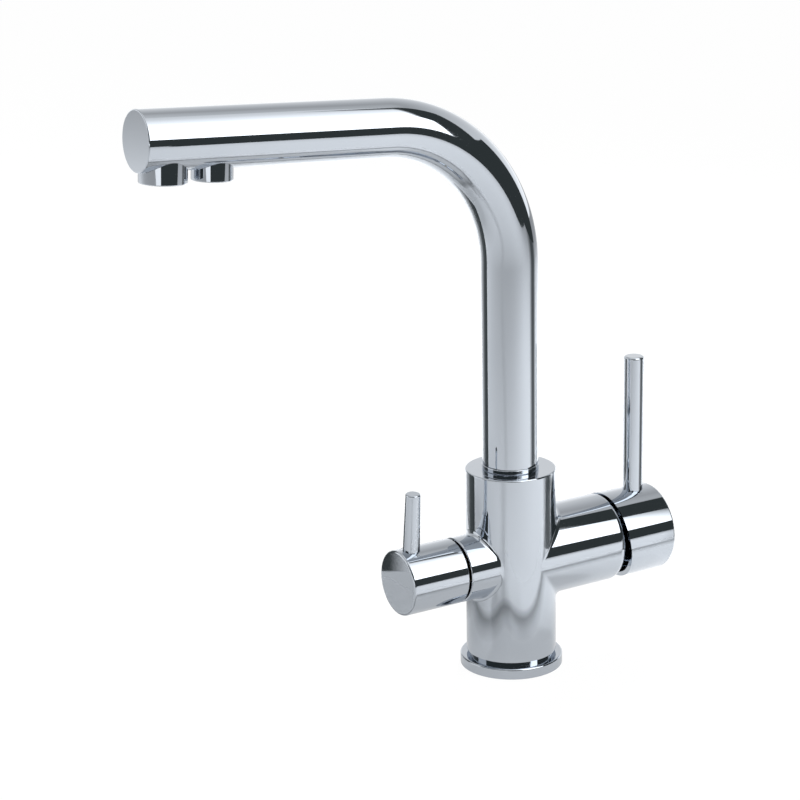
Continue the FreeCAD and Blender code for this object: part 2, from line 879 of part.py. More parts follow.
def make_headwork_moving_disc():
    moving, flange = valve_levels()[1:3]
    disc = valve_rod(valve_disc_d / 2, moving, flange)
    return leaned(disc.cut(half_moon(moving, flange)))


def spindle_ring_places():
    start = valve_levels()[3]
    step = (valve_nose_end - start) / 3
    return start + step, start + 2 * step


def make_headwork_spindle():
    flange, bed = valve_levels()[2:]
    spindle = valve_rod(valve_disc_d / 2, flange, bed).fuse(valve_rod(spindle_r, bed, spindle_end))
    cuts = []
    for place in spindle_ring_places():
        half = spindle_ring_section / 2 + face_gap
        cuts.append(valve_pipe(spindle_r, spindle_ring_bed / 2, place - half, place + half))
    clip = valve_nose_end + face_gap
    cuts.append(valve_pipe(spindle_r, spindle_r - circlip_t, clip, clip + circlip_t + face_gap))
    flat_z = spindle_r - spindle_flat
    flat_end = side(-filter_boss_start, spindle_r, spindle_r)
    cuts.append(block(side(-spindle_end, -spindle_r, flat_z), flat_end))
    return leaned(spindle.cut(cuts))


def make_spindle_o_rings():
    bed = spindle_ring_bed / 2 + fit_gap
    return Part.makeCompound([
        o_ring(bed, spindle_ring_section, side(-place), Vector(1, 0, 0)) for place in spindle_ring_places()
    ])


def make_spindle_circlip():
    start = valve_nose_end + face_gap + face_gap / 2
    clip = valve_pipe(circlip_d / 2, spindle_r - circlip_t + fit_gap, start, start + circlip_t)
    gap = block(side(-start - circlip_t, -circlip_t, -circlip_d), side(-start, circlip_t, 0))
    return clip.cut(gap)


# Filter lever

def filter_lever_point(z):
    return side(-filter_lever_x, 0, z)


def filter_screw_point(z):
    return side(-filter_screw_x, 0, z)


def make_filter_handle_cap():
    shell = soften(valve_rod(stub_r, filter_start, filter_end), filter_round, at_level("X", -filter_end))
    shell = soften(shell, filter_rim_round, at_level("X", -filter_start))
    shell = shell.cut(valve_rod(filter_bore_r, filter_start, filter_end - filter_end_wall))
    boss = valve_rod(filter_boss_d / 2, filter_boss_start, filter_end - filter_end_wall)
    seat_top = filter_lever_point(filter_bore_r + filter_wall / 2)
    seat = rod(filter_seat_d / 2, filter_lever_point(0), seat_top)
    flat_z = spindle_r - spindle_flat + fit_gap
    end = spindle_end + face_gap
    socket = valve_rod(spindle_r + fit_gap, filter_boss_start, end)
    flat_end = side(-filter_boss_start, spindle_d, spindle_d)
    socket = socket.cut(block(side(-end, -spindle_d, flat_z), flat_end))
    floor = stub_r - filter_seat_depth
    thread_floor = filter_lever_point(floor - filter_thread_len)
    access_r = filter_screw_d / 2 + 4 * face_gap
    cuts = [
        socket,
        rod(filter_lever_foot_d / 2 + fit_gap, filter_lever_point(floor), filter_lever_point(stub_r + 1)),
        rod(filter_thread_d / 2 + fit_gap, thread_floor, filter_lever_point(floor)),
        rod(filter_screw_d / 2 + fit_gap, filter_screw_point(0), filter_screw_point(-filter_bore_r)),
        rod(access_r, filter_screw_point(-filter_bore_r + 1), filter_screw_point(-stub_r - 1)),
    ]
    return leaned(shell.fuse([boss, seat]).cut(cuts))


def make_filter_lever_pin():
    floor = stub_r - filter_seat_depth
    length = filter_lever_reach - stub_r
    foot = filter_lever_point(stub_r)
    shaft = Part.makeCone(filter_lever_foot_d / 2, filter_lever_top_d / 2, length, foot, Vector(0, 0, 1))
    shaft = soften(shaft, filter_lever_round, at_level("Z", handle_axis + filter_lever_reach))
    seat = rod(filter_lever_foot_d / 2, filter_lever_point(floor), foot)
    thread_foot = filter_lever_point(floor - filter_thread_len + face_gap)
    thread = rod(filter_thread_d / 2, thread_foot, filter_lever_point(floor))
    return leaned(shaft.fuse([seat, thread]))


def make_filter_grub_screw():
    tip = filter_screw_point(-spindle_r - face_gap)
    return leaned(set_screw(filter_screw_d, tip, filter_screw_point(-filter_boss_d / 2)))


makers = {
    "body_casting": make_body_casting,
    "base_flange": make_base_flange,
    "base_seal": make_base_seal,
    "spout_collar": make_spout_collar,
    "spout_tube": make_spout_tube,
    "spout_tip_cap": make_spout_tip_cap,
    "spout_nipple": make_spout_nipple,
    "spout_o_rings": make_spout_o_rings,
    "spout_glide_ring": make_spout_glide_ring,
    "spout_retaining_screw": make_spout_retaining_screw,
    "filtered_water_tube": make_filtered_water_tube,
    "inner_tube_seal": make_inner_tube_seal,
    "main_outlet_housing": make_main_outlet_housing,
    "main_aerator_insert": make_main_aerator_insert,
    "main_outlet_gasket": make_main_outlet_gasket,
    "filter_outlet_housing": make_filter_outlet_housing,
    "filter_aerator_insert": make_filter_aerator_insert,
    "filter_outlet_gasket": make_filter_outlet_gasket,
    "cartridge_base": make_cartridge_base,
    "cartridge_base_seals": make_cartridge_base_seals,
    "cartridge_housing": make_cartridge_housing,
    "cartridge_fixed_disc": make_cartridge_fixed_disc,
    "cartridge_moving_disc": make_cartridge_moving_disc,
    "disc_carrier": make_disc_carrier,
    "cartridge_sleeve": make_cartridge_sleeve,
    "lever_pivot_pin": make_lever_pivot_pin,
    "cartridge_stem": make_cartridge_stem,
    "cartridge_nut": make_cartridge_nut,
    "mixer_shroud": make_mixer_shroud,
    "mixer_cap": make_mixer_cap,
    "mixer_lever_pin": make_mixer_lever_pin,
    "mixer_grub_screw": make_mixer_grub_screw,
    "indicator_plug": make_indicator_plug,
    "headwork_bonnet": make_headwork_bonnet,
    "headwork_seat_washer": make_headwork_seat_washer,
    "headwork_fixed_disc": make_headwork_fixed_disc,
    "headwork_moving_disc": make_headwork_moving_disc,
    "headwork_spindle": make_headwork_spindle,
    "spindle_o_rings": make_spindle_o_rings,
    "spindle_circlip": make_spindle_circlip,
    "filter_handle_cap": make_filter_handle_cap,
    "filter_lever_pin": make_filter_lever_pin,
    "filter_grub_screw": make_filter_grub_screw,
}

os.makedirs("parts", exist_ok=True)
for node, make in makers.items():
    shape = make()
    shape.exportStep("parts/" + node + ".step")
    print(node, "solids", len(shape.Solids), "valid", shape.isValid(), "volume", round(shape.Volume, 1))
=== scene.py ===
import bpy
import bmesh
import json
import math
from mathutils import Matrix, Vector


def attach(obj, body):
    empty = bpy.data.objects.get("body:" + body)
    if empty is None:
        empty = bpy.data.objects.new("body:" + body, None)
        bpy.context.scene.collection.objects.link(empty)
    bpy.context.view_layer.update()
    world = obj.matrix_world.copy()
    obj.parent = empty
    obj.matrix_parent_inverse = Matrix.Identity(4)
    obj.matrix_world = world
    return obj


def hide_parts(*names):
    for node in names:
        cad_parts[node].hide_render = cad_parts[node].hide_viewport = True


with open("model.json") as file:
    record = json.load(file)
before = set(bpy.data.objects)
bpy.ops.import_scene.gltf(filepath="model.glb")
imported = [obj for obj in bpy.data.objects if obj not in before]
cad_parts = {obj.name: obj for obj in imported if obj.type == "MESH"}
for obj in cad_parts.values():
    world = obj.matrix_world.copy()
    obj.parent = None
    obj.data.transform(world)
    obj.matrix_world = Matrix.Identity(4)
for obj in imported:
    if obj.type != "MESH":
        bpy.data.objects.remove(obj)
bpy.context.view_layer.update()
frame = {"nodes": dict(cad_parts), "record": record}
print("frame loaded:", len(frame["nodes"]), "nodes")

scene = bpy.context.scene
nodes = frame["nodes"]


# Camera, placed where the tap's edges line up with the photographed ones

camera = {
    "eye": (-0.67608, -1.01030, 0.51194),
    "forward": (0.493247, 0.822852, -0.282174),
    "up": (0.161218, 0.232289, 0.959193),
    "lens": 103.72,
    "sensor": 36.0,
    "clipEnd": 50.0,
}


def placeCamera():
    data = bpy.data.cameras.new("photoCamera")
    data.lens = camera["lens"]
    data.sensor_width = camera["sensor"]
    data.clip_end = camera["clipEnd"]
    obj = bpy.data.objects.new("photoCamera", data)
    back = -Vector(camera["forward"]).normalized()
    right = Vector(camera["up"]).cross(back).normalized()
    up = back.cross(right)
    turn = Matrix((right, up, back)).transposed().to_4x4()
    obj.matrix_world = Matrix.Translation(camera["eye"]) @ turn
    scene.collection.objects.link(obj)
    scene.camera = obj


placeCamera()
scene.view_settings.view_transform = "Standard"
print("camera placed")


# Helpers for node trees

# sockets of the Mix node by place, since its colour and number sockets share their names
mixColor = {"a": 6, "b": 7, "result": 2}
mixNumber = {"a": 2, "b": 3, "result": 0}


def rgb(red, green, blue):
    return (red, green, blue, 1.0)


def addNode(tree, kind, **settings):
    node = tree.nodes.new(kind)
    for name, value in settings.items():
        if hasattr(node, name):
            setattr(node, name, value)
        else:
            node.inputs[name].default_value = value
    return node


def mapRange(tree, low, high):
    spread = addNode(tree, "ShaderNodeMapRange")
    spread.inputs["From Min"].default_value = low
    spread.inputs["From Max"].default_value = high
    return spread


def mathOf(tree, operation, *values):
    node = addNode(tree, "ShaderNodeMath", operation=operation)
    for socket, value in zip(node.inputs, values):
        if isinstance(value, float):
            socket.default_value = value
        else:
            tree.links.new(value, socket)
    return node.outputs["Value"]


def mixShaders(tree, share, first, second):
    mix = addNode(tree, "ShaderNodeMixShader")
    tree.links.new(share, mix.inputs["Fac"])
    tree.links.new(first, mix.inputs[1])
    tree.links.new(second, mix.inputs[2])
    return mix.outputs["Shader"]


def greyRamp(tree, levels):
    ramp = addNode(tree, "ShaderNodeValToRGB")
    stops = ramp.color_ramp.elements
    while len(stops) < len(levels):
        stops.new(0.5)
    for stop, (place, level) in zip(stops, levels):
        stop.position = place
        stop.color = rgb(level, level, level)
    return ramp


# Shared effects for the finishes

polishLook = {
    "inputs": {
        "Low Color": rgb(0.5, 0.5, 0.5),
        "High Color": rgb(0.6, 0.6, 0.6),
        "Low Roughness": 0.03,
        "High Roughness": 0.08,
    },
    "haze": {"Scale": 38.0, "Detail": 3.0, "Roughness": 0.55},
    "hairlines": {"Scale": 900.0, "Detail": 2.0, "Roughness": 0.6},
    "wave": {"Scale": 55.0, "Detail": 1.0, "Roughness": 0.4},
    "hairlineShare": 0.35,
    "spread": (0.3, 0.7),
}
grainLook = {
    "inputs": {
        "Dark Color": rgb(0.1, 0.1, 0.1),
        "Light Color": rgb(0.2, 0.2, 0.2),
        "Grain Size": 900.0,
        "Low Roughness": 0.4,
        "High Roughness": 0.6,
    },
    "cloud": {"Scale": 140.0, "Detail": 4.0, "Roughness": 0.6},
    "grain": {"Detail": 2.0, "Roughness": 0.5},
    "spread": (0.0, 1.0),
}


def newGroup(name, inputs):
    group = bpy.data.node_groups.new(name, "ShaderNodeTree")
    for label, value in inputs.items():
        kind = "NodeSocketColor" if isinstance(value, tuple) else "NodeSocketFloat"
        socket = group.interface.new_socket(label, in_out="INPUT", socket_type=kind)
        socket.default_value = value
    for label in ("Color", "Roughness", "Height"):
        kind = "NodeSocketColor" if label == "Color" else "NodeSocketFloat"
        group.interface.new_socket(label, in_out="OUTPUT", socket_type=kind)
    return group, addNode(group, "NodeGroupInput"), addNode(group, "NodeGroupOutput")


def noises(group, *looks):
    coord = addNode(group, "ShaderNodeTexCoord")
    textures = [addNode(group, "ShaderNodeTexNoise", **look) for look in looks]
    for texture in textures:
        group.links.new(coord.outputs["Object"], texture.inputs["Vector"])
    return textures


def joinEffect(group, start, end, colors, tintBy, roughBy, spread, height):
    # one value sets the place between the two colours, another that between the two roughnesses
    link = group.links.new
    tint = addNode(group, "ShaderNodeMix", data_type="RGBA")
    link(tintBy, tint.inputs["Factor"])
    link(start.outputs[colors[0]], tint.inputs[mixColor["a"]])
    link(start.outputs[colors[1]], tint.inputs[mixColor["b"]])
    rough = mapRange(group, *spread)
    link(roughBy, rough.inputs["Value"])
    link(start.outputs["Low Roughness"], rough.inputs["To Min"])
    link(start.outputs["High Roughness"], rough.inputs["To Max"])
    link(tint.outputs[mixColor["result"]], end.inputs["Color"])
    link(rough.outputs["Result"], end.inputs["Roughness"])
    link(height, end.inputs["Height"])


def polishGroup():
    # cloudy buffing haze, fine hairlines and a faint waviness of the plated metal
    look = polishLook
    group, start, end = newGroup("buffedPolish", look["inputs"])
    haze, hairlines, wave = noises(group, look["haze"], look["hairlines"], look["wave"])
    blend = addNode(group, "ShaderNodeMix", data_type="FLOAT", Factor=look["hairlineShare"])
    group.links.new(haze.outputs["Fac"], blend.inputs[mixNumber["a"]])
    group.links.new(hairlines.outputs["Fac"], blend.inputs[mixNumber["b"]])
    joinEffect(group, start, end, ("Low Color", "High Color"), haze.outputs["Fac"],
               blend.outputs[mixNumber["result"]], look["spread"], wave.outputs["Fac"])
    return group


def grainGroup():
    # mottled colour and a fine moulded or sintered grain
    look = grainLook
    group, start, end = newGroup("mouldedGrain", look["inputs"])
    cloud, fine = noises(group, look["cloud"], look["grain"])
    group.links.new(start.outputs["Grain Size"], fine.inputs["Scale"])
    joinEffect(group, start, end, ("Dark Color", "Light Color"), cloud.outputs["Fac"],
               fine.outputs["Fac"], look["spread"], fine.outputs["Fac"])
    return group


polish = polishGroup()
grain = grainGroup()


# Finishes, one for each material of the tap

def metal(low, high, roughness, strength, distance):
    values = {
        "Low Color": low, "High Color": high,
        "Low Roughness": roughness[0], "High Roughness": roughness[1],
    }
    return {"group": polish, "metallic": 1.0, "values": values,
            "bump": {"Strength": strength, "Distance": distance}}


def moulded(dark, light, size, roughness, strength, distance):
    values = {
        "Dark Color": dark, "Light Color": light, "Grain Size": size,
        "Low Roughness": roughness[0], "High Roughness": roughness[1],
    }
    return {"group": grain, "metallic": 0.0, "values": values,
            "bump": {"Strength": strength, "Distance": distance}}


looks = {
    "chromePlate": metal(
        low=rgb(0.520, 0.560, 0.612), high=rgb(0.552, 0.590, 0.640),
        roughness=(0.02, 0.06), strength=0.25, distance=0.00002),
    "turnedBrass": metal(
        low=rgb(0.60, 0.42, 0.17), high=rgb(0.74, 0.55, 0.26),
        roughness=(0.22, 0.38), strength=0.4, distance=0.00004),
    "drawnSteel": metal(
        low=rgb(0.48, 0.48, 0.48), high=rgb(0.62, 0.62, 0.61),
        roughness=(0.18, 0.34), strength=0.4, distance=0.00003),
    "sealRubber": moulded(
        dark=rgb(0.012, 0.012, 0.012), light=rgb(0.03, 0.03, 0.03), size=1500.0,
        roughness=(0.55, 0.75), strength=0.5, distance=0.00006),
    "whiteAcetal": moulded(
        dark=rgb(0.72, 0.72, 0.69), light=rgb(0.84, 0.84, 0.82), size=1100.0,
        roughness=(0.35, 0.5), strength=0.3, distance=0.00004),
    "aeratorPlastic": moulded(
        dark=rgb(0.30, 0.31, 0.32), light=rgb(0.42, 0.43, 0.44), size=1300.0,
        roughness=(0.35, 0.55), strength=0.35, distance=0.00004),
    "shroudPlastic": moulded(
        dark=rgb(0.006, 0.006, 0.007), light=rgb(0.016, 0.016, 0.017), size=1000.0,
        roughness=(0.45, 0.65), strength=0.4, distance=0.00005),
    "indicatorPlastic": moulded(
        dark=rgb(0.05, 0.052, 0.055), light=rgb(0.09, 0.092, 0.096), size=900.0,
        roughness=(0.15, 0.25), strength=0.2, distance=0.00003),
    "lappedCeramic": moulded(
        dark=rgb(0.74, 0.73, 0.70), light=rgb(0.86, 0.85, 0.83), size=2200.0,
        roughness=(0.1, 0.22), strength=0.2, distance=0.00002),
}
slotLooks = {
    "chrome_body": "chromePlate",
    "chrome_spout": "chromePlate",
    "chrome_lever": "chromePlate",
    "brass": "turnedBrass",
    "stainless": "drawnSteel",
    "black_rubber": "sealRubber",
    "white_acetal": "whiteAcetal",
    "aerator_plastic": "aeratorPlastic",
    "black_plastic": "shroudPlastic",
    "indicator_plastic": "indicatorPlastic",
    "disc_ceramic": "lappedCeramic",
}


def finish(name, look):
    material = bpy.data.materials.new(name)
    material.use_nodes = True
    tree = material.node_tree
    surface = tree.nodes["Principled BSDF"]
    surface.inputs["Metallic"].default_value = look["metallic"]
    effect = addNode(tree, "ShaderNodeGroup", node_tree=look["group"])
    for socket, value in look["values"].items():
        effect.inputs[socket].default_value = value
    relief = addNode(tree, "ShaderNodeBump", **look["bump"])
    tree.links.new(effect.outputs["Color"], surface.inputs["Base Color"])
    tree.links.new(effect.outputs["Roughness"], surface.inputs["Roughness"])
    tree.links.new(effect.outputs["Height"], relief.inputs["Height"])
    tree.links.new(relief.outputs["Normal"], surface.inputs["Normal"])
    return material


made = {name: finish(name, look) for name, look in looks.items()}
finishes = {slot: made[name] for slot, name in slotLooks.items()}
for part in frame["record"]["subparts"]:
    mesh = nodes[part["node"]].data
    mesh.materials.clear()
    mesh.materials.append(finishes[part["material_slot"]])
print("finishes set")


# Spout tube, drawn finer than the frame's own so that reflections run smoothly round the bend

spoutTube = {
    "radius": 0.01555,
    "wall": 0.0014,
    "foot": 0.118,
    "bendStart": 0.230289,
    "bendRadius": 0.082,
    "bendTurn": 86.7,
    "armLength": 0.136889,
    "armRise": 3.3,
    "corner": 0.3077,
    "around": 144,
    "columnSteps": 22,
    "bendSteps": 60,
    "armSteps": 110,
    "outlets": ((0.2022, 0.01005), (0.1754, 0.00845)),  # distance along the arm, radius
    "rimReach": 1.3,
    "weld": 0.000001,
}


def pieceObject(name, bm, slot, body, node):
    mesh = bpy.data.meshes.new(name)
    bm.to_mesh(mesh)
    bm.free()
    mesh.materials.append(finishes[slot])
    obj = bpy.data.objects.new(name, mesh)
    scene.collection.objects.link(obj)
    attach(obj, body)
    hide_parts(node)
    return obj


def ofType(geom, kind):
    return [item for item in geom if isinstance(item, kind)]


def pushOn(bm, edges, step, count):
    # draws a ring of edges onward in equal steps
    for turn in range(count):
        drawn = bmesh.ops.extrude_edge_only(bm, edges=edges)["geom"]
        verts = ofType(drawn, bmesh.types.BMVert)
        edges = [edge for edge in ofType(drawn, bmesh.types.BMEdge)
                 if all(vert in verts for vert in edge.verts)]
        bmesh.ops.translate(bm, vec=step, verts=verts)
    return edges


def drawTube(bm, size):
    bmesh.ops.create_circle(bm, segments=size["around"], radius=size["radius"],
                            matrix=Matrix.Translation((0, 0, size["foot"])))
    rise = (size["bendStart"] - size["foot"]) / size["columnSteps"]
    edges = pushOn(bm, bm.edges[:], Vector((0, 0, rise)), size["columnSteps"])
    rim = list({vert for edge in edges for vert in edge.verts})
    bend = bmesh.ops.spin(bm, geom=rim + edges, axis=(0, -1, 0),
                          cent=(-size["bendRadius"], 0, size["bendStart"]),
                          angle=math.radians(size["bendTurn"]), steps=size["bendSteps"])
    edges = ofType(bend["geom_last"], bmesh.types.BMEdge)
    lean = math.radians(size["armRise"])
    along = Vector((-math.cos(lean), 0, math.sin(lean)))
    pushOn(bm, edges, along * (size["armLength"] / size["armSteps"]), size["armSteps"])
    bmesh.ops.remove_doubles(bm, verts=bm.verts[:], dist=size["weld"])


def openOutlets(bm, size):
    # round openings in the arm's underside for the necks of the two outlets
    lean = Matrix.Rotation(math.radians(size["armRise"]), 4, "Y")
    place = Matrix.Translation((0, 0, size["corner"])) @ lean
    back = place.inverted()
    for reach, radius in size["outlets"]:
        def fromOutlet(point):
            local = back @ point
            return Vector((local.x + reach, local.y)), local.z
        inside = []
        for face in bm.faces:
            flat, depth = fromOutlet(face.calc_center_median())
            if depth < 0 and flat.length < radius:
                inside.append(face)
        bmesh.ops.delete(bm, geom=inside, context="FACES")
        for vert in [vert for vert in bm.verts if vert.is_boundary]:
            flat, depth = fromOutlet(vert.co)
            if depth < 0 and flat.length < radius * size["rimReach"]:
                flat = flat * (radius / flat.length)
                drop = -math.sqrt(size["radius"] ** 2 - flat.y ** 2)
                vert.co = place @ Vector((flat.x - reach, flat.y, drop))


def turnOutward(bm):
    bmesh.ops.recalc_face_normals(bm, faces=bm.faces[:])
    bm.faces.ensure_lookup_table()
    first = bm.faces[0]
    if first.normal.dot(first.calc_center_median() * Vector((1, 1, 0))) < 0:
        bmesh.ops.reverse_faces(bm, faces=bm.faces[:])


def buildSpoutTube():
    bm = bmesh.new()
    drawTube(bm, spoutTube)
    openOutlets(bm, spoutTube)
    turnOutward(bm)
    for face in bm.faces:
        face.smooth = True
    for edge in bm.edges:
        edge.smooth = not edge.is_boundary
    obj = pieceObject("spoutTubePiece", bm, "chrome_spout", "spout", "spout_tube")
    wall = obj.modifiers.new("wall", "SOLIDIFY")
    wall.thickness = spoutTube["wall"]
    wall.offset = -1.0


buildSpoutTube()
print("spout tube drawn")


# Studio: a pale table, a leaning soft box, three lamps, and dark cards that only show in the chrome

white = rgb(1.0, 1.0, 1.0)
shade = rgb(0.046, 0.054, 0.054)
cornerUvs = ((0, 0), (1, 0), (1, 1), (0, 1), (0, 0.5))  # the last is for a card with five corners


def quad(name, corners, material):
    bm = bmesh.new()
    bm.faces.new([bm.verts.new(corner) for corner in corners])
    mesh = bpy.data.meshes.new(name)
    bm.to_mesh(mesh)
    bm.free()
    uv = mesh.uv_layers.new(name="UVMap")
    for loop, place in zip(uv.data, cornerUvs):
        loop.uv = place
    mesh.materials.append(material)
    obj = bpy.data.objects.new(name, mesh)
    scene.collection.objects.link(obj)
    return obj


def card(name, corners, material):
    obj = quad(name, corners, material)
    obj.visible_camera = False
    obj.visible_shadow = False
    obj.visible_diffuse = False
    obj.visible_transmission = False


def flat(left, right, front, back, level):
    return [(left, front, level), (right, front, level), (right, back, level), (left, back, level)]


def upright(start, end, foot, top):
    return [(*start, foot), (*end, foot), (*end, top), (*start, top)]


def emptyMaterial(name):
    material = bpy.data.materials.new(name)
    material.use_nodes = True
    tree = material.node_tree
    tree.nodes.clear()
    out = addNode(tree, "ShaderNodeOutputMaterial")
    return material, tree, out.inputs["Surface"]


def glow(name, color, strength, fade=None):
    material, tree, surface = emptyMaterial(name)
    light = addNode(tree, "ShaderNodeEmission", Color=color, Strength=strength)
    tree.links.new(light.outputs["Emission"], surface)
    if fade:
        coord = addNode(tree, "ShaderNodeTexCoord")
        split = addNode(tree, "ShaderNodeSeparateXYZ")
        ramp = greyRamp(tree, fade)
        tree.links.new(coord.outputs["UV"], split.inputs["Vector"])
        tree.links.new(split.outputs["Y"], ramp.inputs["Fac"])
        tree.links.new(ramp.outputs["Color"], light.inputs["Color"])
    return material


def softCard(name, ramp, measure):
    # dark where the ramp is white and clear where it is black
    material, tree, surface = emptyMaterial(name)
    clear = addNode(tree, "ShaderNodeBsdfTransparent")
    dark = addNode(tree, "ShaderNodeEmission", Color=shade)
    cover = greyRamp(tree, ramp)
    tree.links.new(measure(tree, addNode(tree, "ShaderNodeTexCoord")), cover.inputs["Fac"])
    mixed = mixShaders(tree, cover.outputs["Color"], clear.outputs["BSDF"], dark.outputs["Emission"])
    tree.links.new(mixed, surface)
    return material


def acrossCard(tree, coord):
    split = addNode(tree, "ShaderNodeSeparateXYZ")
    tree.links.new(coord.outputs["UV"], split.inputs["Vector"])
    return split.outputs["X"]


def fromMiddle(tree, coord):
    # 0 in the card's middle and 1 at the middle of each side
    centred = addNode(tree, "ShaderNodeMapping", vector_type="POINT",
                      Location=(-1.0, -1.0, 0.0), Scale=(2.0, 2.0, 0.0))
    radius = addNode(tree, "ShaderNodeVectorMath", operation="LENGTH")
    tree.links.new(coord.outputs["UV"], centred.inputs["Vector"])
    tree.links.new(centred.outputs["Vector"], radius.inputs[0])
    return radius.outputs["Value"]


table = {
    "front": -1.4,
    "back": 5.0,
    "side": 4.0,
    "level": -0.0004,
    "paper": rgb(0.88, 0.885, 0.89),
    "white": 0.93,
    "whiteGlow": 1.03,
    "openUnder": 0.0285,
    "lift": ((0.0, 0.85), (0.045, 0.85), (0.085, 0.6), (0.14, 0.0)),
    "liftGlow": 0.85,
}


def tableFinish():
    material, tree, surface = emptyMaterial("paleTable")
    paper = addNode(tree, "ShaderNodeBsdfDiffuse", Color=table["paper"])
    bright = addNode(tree, "ShaderNodeEmission", Strength=table["whiteGlow"])
    soft = addNode(tree, "ShaderNodeEmission", Strength=table["liftGlow"])
    clear = addNode(tree, "ShaderNodeBsdfTransparent")
    path = addNode(tree, "ShaderNodeLightPath")
    facing = addNode(tree, "ShaderNodeNewGeometry")
    coord = addNode(tree, "ShaderNodeTexCoord")
    reach = addNode(tree, "ShaderNodeVectorMath", operation="LENGTH")
    tree.links.new(coord.outputs["Object"], reach.inputs[0])
    # the shade round the foot is lifted where the chrome shows it
    near = greyRamp(tree, table["lift"])
    tree.links.new(reach.outputs["Value"], near.inputs["Fac"])
    shown = mathOf(tree, "MULTIPLY", near.outputs["Color"], path.outputs["Is Glossy Ray"])
    lifted = mixShaders(tree, shown, paper.outputs["BSDF"], soft.outputs["Emission"])
    share = mathOf(tree, "MULTIPLY", path.outputs["Is Camera Ray"], table["white"])
    above = mixShaders(tree, share, lifted, bright.outputs["Emission"])
    # open under the tap's foot, so that its underside can be looked at
    under = mathOf(tree, "LESS_THAN", reach.outputs["Value"], table["openUnder"])
    seeThrough = mathOf(tree, "MAXIMUM", facing.outputs["Backfacing"], under)
    tree.links.new(mixShaders(tree, seeThrough, above, clear.outputs["BSDF"]), surface)
    return material


def layTable():
    side = table["side"]
    corners = flat(-side, side, table["front"], table["back"], table["level"])
    quad("table", corners, tableFinish())


softBox = {
    "foot": (-1.0, 0.45),
    "slope": (0.65, 0.79),
    "left": -0.1,
    "right": 0.84,
    "top": 1.8,
    "strength": 3.0,
    "fade": ((0.0, 1.0), (0.35, 0.9), (0.55, 0.55), (0.75, 0.38), (1.0, 0.32)),
}


def leaning(left, right, feet, top, inset=0.0):
    # corners of a card in the soft box's plane, or a little in front of it
    footY, footZ = softBox["foot"]
    slopeY, slopeZ = softBox["slope"]
    places = ((left, feet[0]), (right, feet[1]), (right, top), (left, top))
    return [(x, footY + slopeY * along + inset, footZ + slopeZ * along - inset) for x, along in places]


def hangSoftBox():
    corners = leaning(softBox["left"], softBox["right"], (0.0, 0.0), softBox["top"])
    card("softBox", corners, glow("softBoxGlow", white, softBox["strength"], softBox["fade"]))


cards = {
    "upperLeft": 0.66,
    "upperFeet": (0.74, -0.10),
    "upperTop": 1.5,
    "upperInset": 0.01,
    "upperRamp": ((0.0, 0.0), (0.03, 0.5), (0.08, 1.0)),
    "rightInset": 0.005,
    "farRight": 1.6,
    "farLeft": -0.95,
    "stepAt": 0.18,
    "rightFront": (-0.81, -1.15),
    "frontFeet": (0.04, -0.004),
    "roomRight": 0.5,
    "leftFoot": 0.3,
    "leftFront": -1.09,
    "leftTop": 1.1,
    "rightBack": 0.0,
    "rightTop": 0.9,
    "sideLeft": (-1.9, 0.6),
}


def standFrontCards(dark):
    footY, footZ = softBox["foot"]
    farRight, farLeft, upperTop = cards["farRight"], cards["farLeft"], cards["upperTop"]
    card("darkUpper",
         leaning(cards["upperLeft"], farRight, cards["upperFeet"], upperTop, cards["upperInset"]),
         softCard("darkUpper", cards["upperRamp"], acrossCard))
    card("darkRight",
         leaning(softBox["right"], farRight, (0.0, 0.0), upperTop, cards["rightInset"]), dark)
    step, front, top = cards["stepAt"], cards["leftFront"], cards["leftTop"]
    near, away = cards["rightFront"]
    footLeft, footRight = cards["frontFeet"]
    card("darkFront", [
        (step, near, footLeft), (farRight, away, footRight),
        (farRight, footY, footZ), (step, footY, footZ)], dark)
    roomRight = cards["roomRight"]
    card("darkRoom", [
        (farLeft, front, 0), (roomRight, front, 0), (roomRight, front, footZ),
        (step, front, top), (farLeft, front, top)], dark)


def standSideCards(dark):
    farRight, away = cards["farRight"], cards["rightFront"][1]
    card("darkRightWall",
         upright((farRight, away), (farRight, cards["rightBack"]), 0, cards["rightTop"]), dark)
    leftCorner = (cards["farLeft"], cards["leftFront"])
    card("darkLeftWall",
         upright(cards["sideLeft"], leftCorner, cards["leftFoot"], cards["leftTop"]), dark)


floorShade = {
    "middle": (-0.15, 0.13),
    "half": 0.3,
    "level": -0.0002,
    "ramp": ((0.0, 0.38), (0.35, 0.34), (0.5, 0.2), (0.7, 0.1), (1.0, 0.0)),
}


def layFloorShade():
    (x, y), half = floorShade["middle"], floorShade["half"]
    corners = flat(x - half, x + half, y - half, y + half, floorShade["level"])
    card("floorShade", corners, softCard("floorShade", floorShade["ramp"], fromMiddle))


# painted shadow: a soft dark band on the floor round a rectangle with round corners in front of the
# tap, standing for the tap's own shadows on the floor; it shows in the chrome alone
paintedShadowBand = {
    "middle": (0.12, -0.01),
    "half": (0.228, 0.113),
    "turn": -4.0,
    "corner": 0.05,
    "border": (-0.04, 0.012),
    "margin": 0.05,
    "level": -0.0001,
    "ramp": ((0.0, 0.0), (0.35, 0.22), (0.68, 0.56), (1.0, 0.0)),
}


